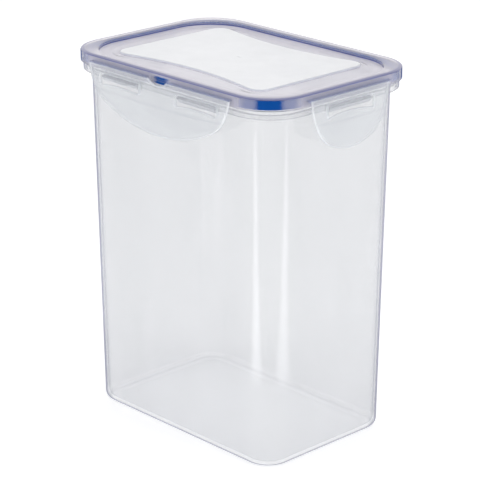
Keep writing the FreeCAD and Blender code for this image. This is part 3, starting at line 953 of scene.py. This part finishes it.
def dress(piece, material):
    """Give a piece one material in place of those it has."""
    piece.data.materials.clear()
    piece.data.materials.append(material)


for piece, material, slot in ((container, container_plastic, "clear_polypropylene"),
                              (lid, lid_plastic, "clear_polypropylene"),
                              (gasket, blue_silicone, "blue_silicone")):
    dress(piece, material)
for side, piece in flaps.items():
    dress(piece, flap_plastic)
    dress(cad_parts[side + "_hinge_film"], film_plastic)
dress(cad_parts["locking_lugs"], lug_plastic)
print("pieces dressed:", len(flaps) * 2 + 4)

# %% [markdown]
# ## The floor
# A plain pale floor, much larger than the object. It glows a little, so that it stays as pale
# as the background right up to the object's foot.

# %% Floor
FLOOR_REACH = 3.0
floor_mesh = bpy.data.meshes.new("floor")
floor_mesh.from_pydata([(x * FLOOR_REACH, y * FLOOR_REACH, 0)
                        for x, y in ((-1, -1), (1, -1), (1, 1), (-1, 1))], [], [(0, 1, 2, 3)])
floor = bpy.data.objects.new("floor", floor_mesh)
bpy.context.collection.objects.link(floor)
floor_finish = Finish("pale_floor")
grain = floor_finish.noise(floor_finish.place(), 30.0)
floor_colour = floor_finish.blend(grain, (0.71, 0.71, 0.71), (0.73, 0.73, 0.73))
dress(floor, floor_finish.done(floor_finish.node("BsdfPrincipled", {}, {
    "Base Color": floor_colour, "Roughness": 0.6, "Emission Color": (1.0, 1.0, 1.0, 1.0),
    "Emission Strength": 0.52})))

# %% [markdown]
# ## Lights
# Two tall softboxes and a wide one overhead light the object gently. The upright streaks on the
# rounded corners come from four strips that lie flat on the table, pointing away from two
# opposite corners: a wall seen from a little above reflects the table in front of it.

# %% Lights


def area_light(name, size, power, place, turn):
    """A rectangular light of a size and power, at a place, with a rotation."""
    light_data = bpy.data.lights.new(name, "AREA")
    light_data.shape = "RECTANGLE"
    light_data.size, light_data.size_y = size
    light_data.energy = power
    light = bpy.data.objects.new(name, light_data)
    bpy.context.collection.objects.link(light)
    light.location, light.rotation_euler = place, turn
    return light


def softbox(name, place, size, power):
    """A light that faces the middle of the object."""
    turn = (LOOK_AT - Vector(place)).to_track_quat("-Z", "Y").to_euler()
    area_light(name, size, power, place, turn)


def table_strip(name, azimuth, distance, width, length, radiance, start):
    """A strip that lies flat on the table and shines upwards; only reflections show it.

    Its middle is at a distance from its start, in the direction of an azimuth that is counted
    from the front towards the right, and its length points along that direction. Its power is
    radiance * pi * area."""
    turn = math.radians(azimuth)
    middle = (start[0] + distance * math.sin(turn), start[1] - distance * math.cos(turn), 0.004)
    strip = area_light(name, (width, length), radiance * math.pi * width * length, middle,
                       (math.pi, 0.0, turn))
    strip.visible_camera = False


softbox("left_softbox", (-0.5, -1.5, 0.9), (0.4, 1.2), 5.0)
softbox("right_softbox", (1.5, 0.3, 0.9), (0.4, 1.2), 5.0)
softbox("top_softbox", (0.0, 0.0, 1.6), (1.0, 1.0), 7.0)
STRIPS = ((-3.0, 0.29, 0.08, 0.40, 1.9), (106.0, 0.29, 0.10, 0.40, 1.5))
for half_turn, sign in ((0.0, 1.0), (180.0, -1.0)):
    for i, (azimuth, *strip) in enumerate(STRIPS):
        table_strip("table_light_%d_%d" % (half_turn, i), azimuth + half_turn, *strip,
                    (0.055 * sign, -0.035 * sign))

# %% [markdown]
# ## The room
# The surroundings are white at the horizon and darker overhead, so that the walls have white
# behind them and the lid's top isn't washed out.

# %% World
world = bpy.data.worlds.new("studio")
world.use_nodes = True
room = Nodes(world.node_tree)
rise = room.node("SeparateXYZ", {}, {0: room.node("TexCoord", {}, {})}, output=2)
overhead = room.node("MapRange", {"interpolation_type": "SMOOTHSTEP"},
                     {"Value": rise, "From Min": 0.30, "From Max": 0.65})
room_colour = room.blend(overhead, (1.0, 1.0, 1.0), (0.30, 0.30, 0.31))
room.node("OutputWorld", {}, {"Surface": room.node("Background", {}, {"Color": room_colour})})
bpy.context.scene.world = world
bpy.context.scene.view_settings.view_transform = "Standard"
bpy.context.scene.cycles.transparent_max_bounces = 32
print("world nodes:", len(world.node_tree.nodes))

# %% [markdown]
